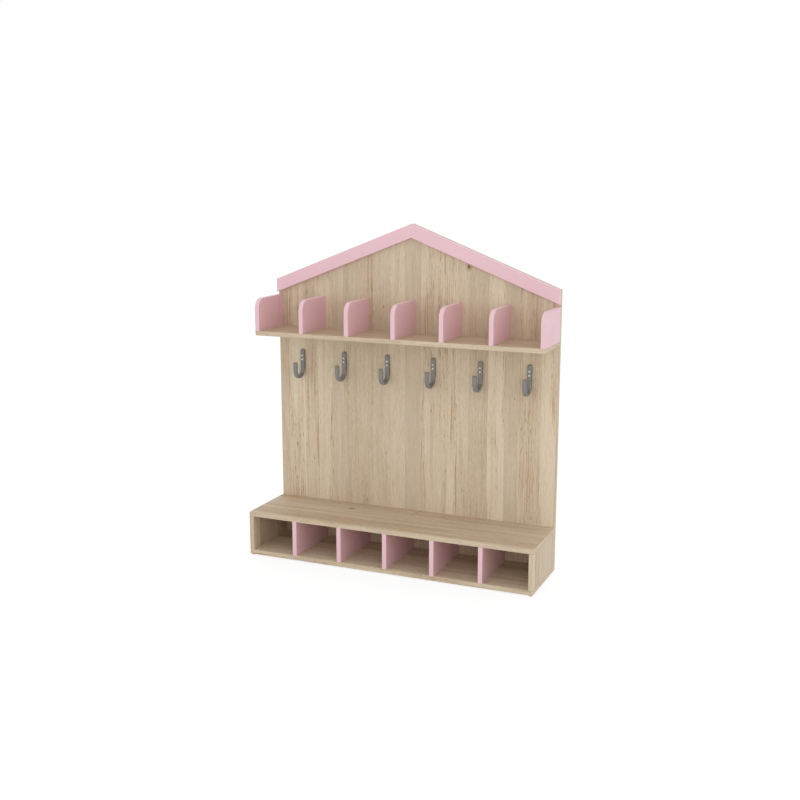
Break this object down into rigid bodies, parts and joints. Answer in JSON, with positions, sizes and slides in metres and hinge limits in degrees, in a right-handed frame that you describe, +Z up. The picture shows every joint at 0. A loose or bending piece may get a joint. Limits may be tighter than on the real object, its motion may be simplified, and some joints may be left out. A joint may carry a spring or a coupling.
{
  "type": "childrens cloakroom unit",
  "caption": "Free-standing children's cloakroom unit: a low shoe bench split into bays, a tall house-shaped back panel with J coat hooks, and a hat shelf with rounded dividers.",
  "frame": {"origin": "on the floor, under the middle of the unit's footprint", "axes": "+X to the right seen from the front, +Y to the wall behind, +Z up"},
  "size_m": [1.2, 0.303, 1.343],
  "materials": {
    "light_oak_board": "melamine-faced board with a stave-pattern oak print, satin",
    "pink_board": "melamine-faced board, plain pale pink, satin",
    "grey_hook_metal": "cast metal with a grey powder coat, satin",
    "bright_steel": "bright zinc",
    "zinc_screw": "yellow zinc",
    "birch_tongue": "birch plywood strip, bare",
    "pink_plastic": "pale pink moulded plastic"
  },
  "bodies": {
    "root": {"back_panel": "light_oak_board", "base_tongues": "birch_tongue", "bench_bottom": "light_oak_board", "bench_divider_1": "pink_board", "bench_divider_2": "pink_board", "bench_divider_3": "pink_board", "bench_divider_4": "pink_board", "bench_divider_5": "pink_board", "bench_screws": "zinc_screw", "bench_seat": "light_oak_board", "bench_side_left": "light_oak_board", "bench_side_right": "light_oak_board", "coat_hook_1": "grey_hook_metal", "coat_hook_2": "grey_hook_metal", "coat_hook_3": "grey_hook_metal", "coat_hook_4": "grey_hook_metal", "coat_hook_5": "grey_hook_metal", "coat_hook_6": "grey_hook_metal", "divider_tongues": "birch_tongue", "glide_front_left": "pink_plastic", "glide_front_right": "pink_plastic", "glide_rear_left": "pink_plastic", "glide_rear_right": "pink_plastic", "hook_screws": "bright_steel", "roof_trim_left": "pink_board", "roof_trim_right": "pink_board", "seat_tongues": "birch_tongue", "shelf_board": "light_oak_board", "shelf_divider_1": "pink_board", "shelf_divider_2": "pink_board", "shelf_divider_3": "pink_board", "shelf_divider_4": "pink_board", "shelf_divider_5": "pink_board", "shelf_end_left": "pink_board", "shelf_end_right": "pink_board", "shelf_screws": "zinc_screw", "shelf_tongues": "birch_tongue", "trim_tongues": "birch_tongue"}
  },
  "joints": []
}
